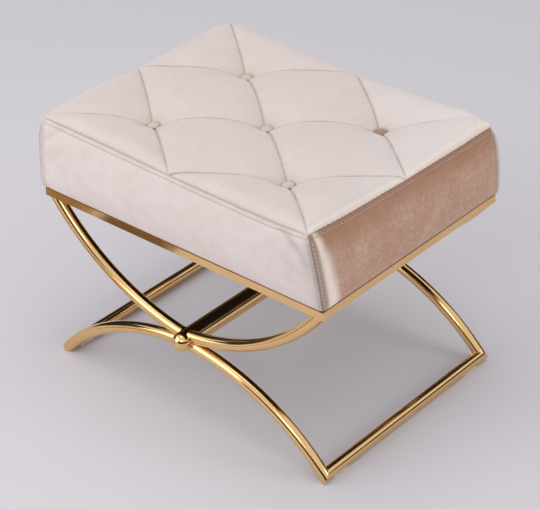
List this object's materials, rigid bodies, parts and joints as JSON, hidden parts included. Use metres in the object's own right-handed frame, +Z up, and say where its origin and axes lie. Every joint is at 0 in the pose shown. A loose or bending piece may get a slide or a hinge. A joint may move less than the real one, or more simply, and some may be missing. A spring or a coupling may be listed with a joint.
{
  "type": "ottoman",
  "caption": "Button-tufted box-cushion ottoman in pale velvet on a crossed frame of curved polished gold tube.",
  "frame": {"origin": "on the floor, under the middle of the seat", "axes": "+X along the long side, to the right; +Y from the near long side to the far one; +Z up"},
  "size_m": [0.538, 0.418, 0.4187],
  "materials": {
    "gold_tube": "polished gold-coloured plating on steel",
    "velvet": "champagne velvet with a soft, brushed nap",
    "pad_plastic": "translucent moulded plastic",
    "plain_steel": "zinc-plated steel",
    "black_cloth": "black non-woven dust cloth",
    "plywood": "plain plywood",
    "foam": "open-cell polyurethane foam",
    "wadding": "polyester fibre wadding",
    "twine": "waxed tufting twine",
    "black_plastic": "black moulded plastic"
  },
  "bodies": {
    "root": {"rim_near": "gold_tube", "rim_far": "gold_tube", "rim_left": "gold_tube", "rim_right": "gold_tube", "upper_arm_near_left": "gold_tube", "upper_arm_near_right": "gold_tube", "upper_arm_far_left": "gold_tube", "upper_arm_far_right": "gold_tube", "lower_arm_near_left": "gold_tube", "lower_arm_near_right": "gold_tube", "lower_arm_far_left": "gold_tube", "lower_arm_far_right": "gold_tube", "floor_bar_left": "gold_tube", "floor_bar_right": "gold_tube", "stretcher": "gold_tube", "dome_near": "gold_tube", "dome_far": "gold_tube", "floor_pads": "pad_plastic", "corner_plate_near_left": "gold_tube", "corner_plate_near_right": "gold_tube", "corner_plate_far_left": "gold_tube", "corner_plate_far_right": "gold_tube", "seat_screws": "plain_steel", "seat_washers": "plain_steel", "tee_nuts": "plain_steel", "dust_cover": "black_cloth", "staples": "plain_steel", "seat_board": "plywood", "foam": "foam", "wadding": "wadding", "cover_top": "velvet", "cover_side_near": "velvet", "cover_side_far": "velvet", "cover_side_left": "velvet", "cover_side_right": "velvet", "buttons": "velvet", "tuft_cords": "twine", "cord_washers": "black_plastic"}
  },
  "joints": []
}
